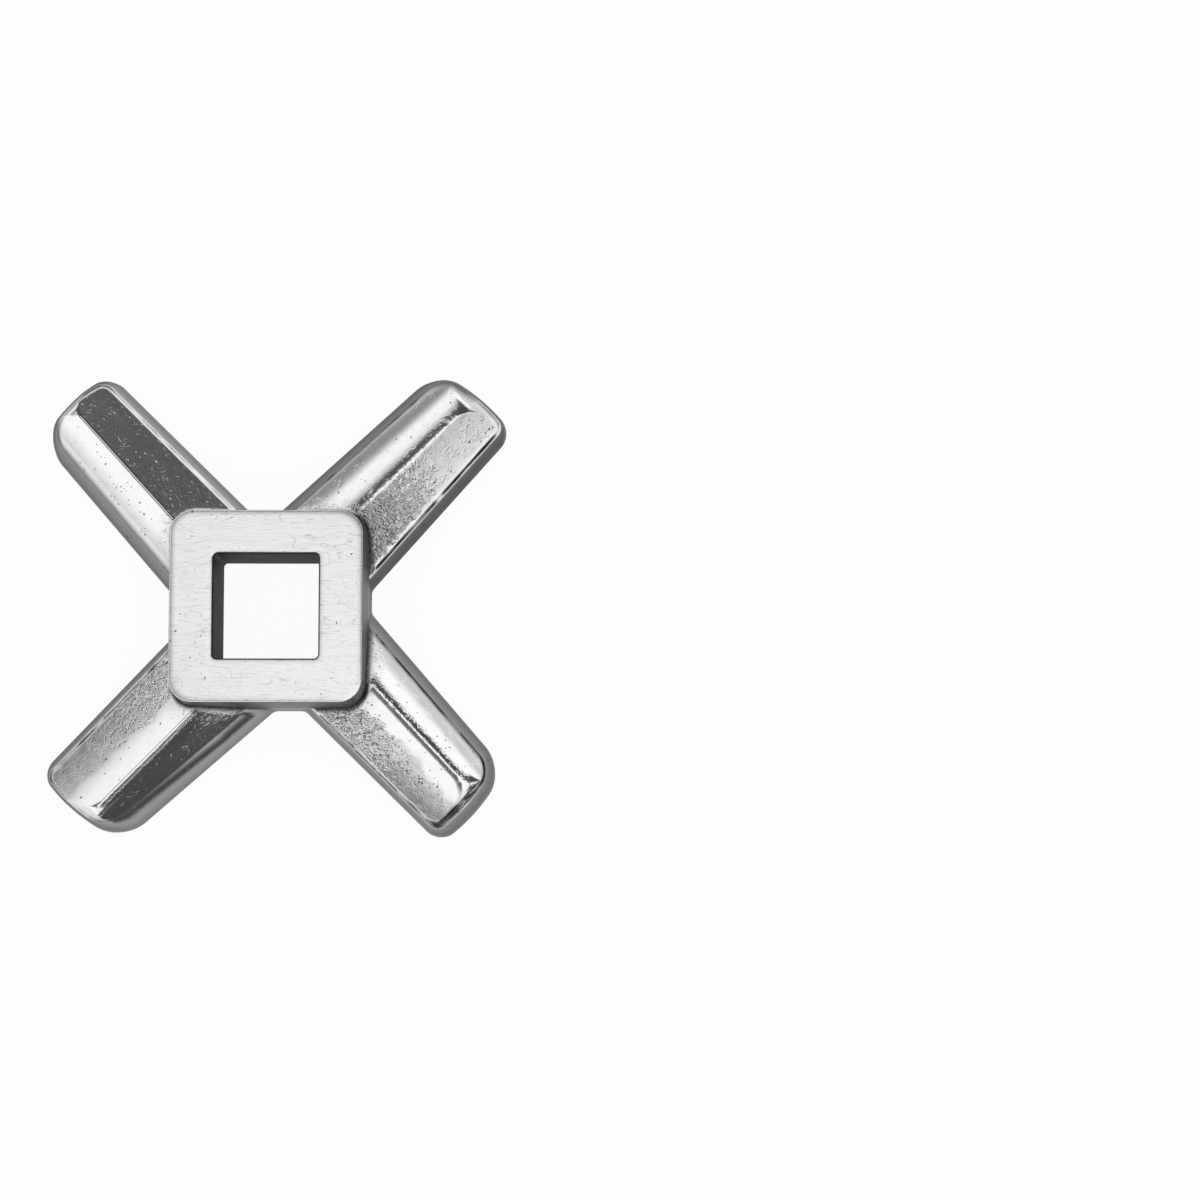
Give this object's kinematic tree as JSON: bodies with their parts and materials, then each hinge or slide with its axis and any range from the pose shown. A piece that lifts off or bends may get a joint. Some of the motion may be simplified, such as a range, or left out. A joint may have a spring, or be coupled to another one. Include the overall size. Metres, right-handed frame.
{
  "type": "meat grinder knife",
  "caption": "Cross-shaped meat grinder knife of cast steel, with ridged arms, a ground cutting face and a square boss with a square drive hole.",
  "frame": {"origin": "centre of the drive square in the plane of the cutting face", "axes": "+Z along the drive square from the cutting face to the boss face; X and Y along the sides of the boss, with the arms on the diagonals"},
  "size_m": [0.0622, 0.0632, 0.014],
  "materials": {
    "steel": "cast and tumbled, with a ground boss face and a ground cutting face"
  },
  "bodies": {
    "root": {"knife": "steel"}
  },
  "joints": []
}
